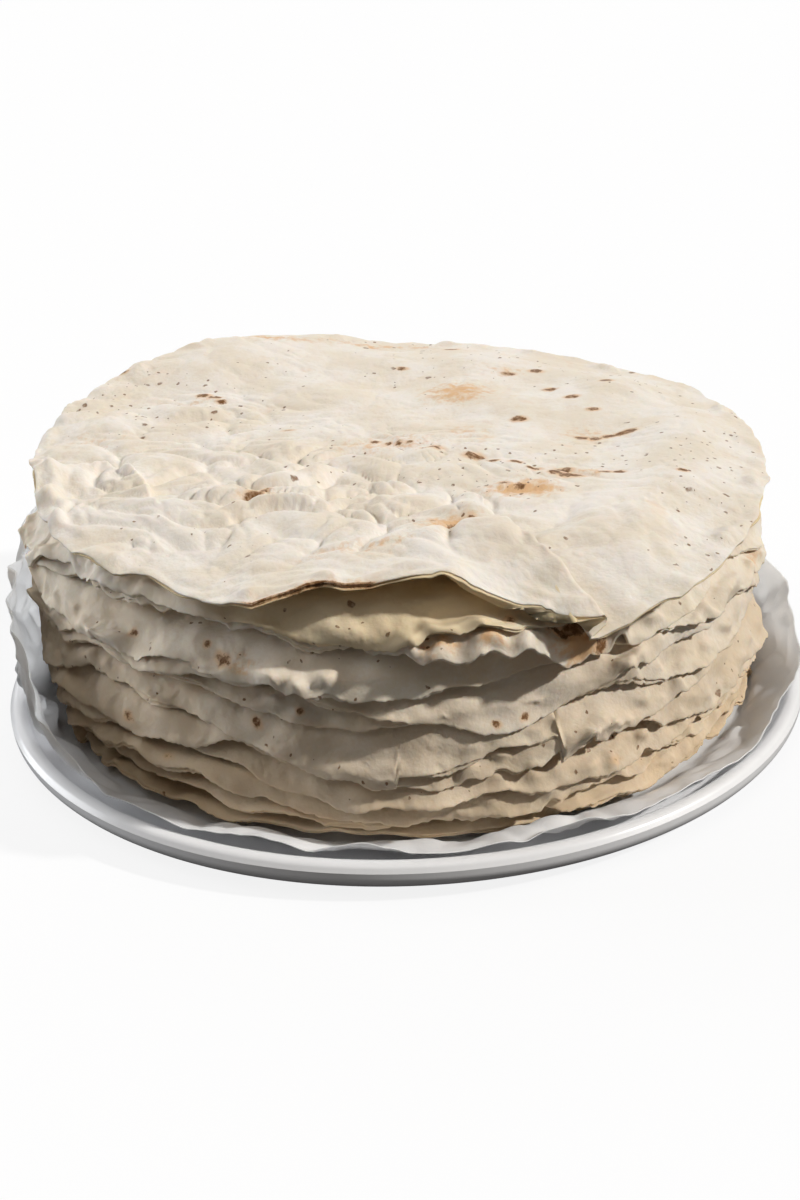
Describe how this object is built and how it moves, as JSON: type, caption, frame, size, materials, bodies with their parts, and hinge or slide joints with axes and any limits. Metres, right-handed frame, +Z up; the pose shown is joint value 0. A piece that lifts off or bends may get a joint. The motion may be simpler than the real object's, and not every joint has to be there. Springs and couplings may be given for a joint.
{
  "type": "stack of pita breads",
  "caption": "Tall pile of large thin soft flatbreads with drooping ragged rims, on crumpled parchment on a round white lipped plate.",
  "frame": {"origin": "on the plate's axis, at the plane its foot ring stands on", "axes": "+Z up through the pile; -Y towards the side that shows the uppermost bread's lifted front edge; +X to that view's right"},
  "size_m": [0.3996, 0.3996, 0.1422],
  "materials": {
    "white_glaze": "gloss",
    "parchment": "satin",
    "bread": "matte",
    "top_bread": "matte"
  },
  "bodies": {
    "root": {"serving_plate": "white_glaze", "parchment_sheet": "parchment", "bread_01": "bread", "bread_02": "bread", "bread_03": "bread", "bread_04": "bread", "bread_05": "bread", "bread_06": "bread", "bread_07": "bread", "bread_08": "bread", "bread_09": "bread", "bread_10": "bread", "bread_11": "bread", "bread_12": "top_bread"}
  },
  "joints": []
}
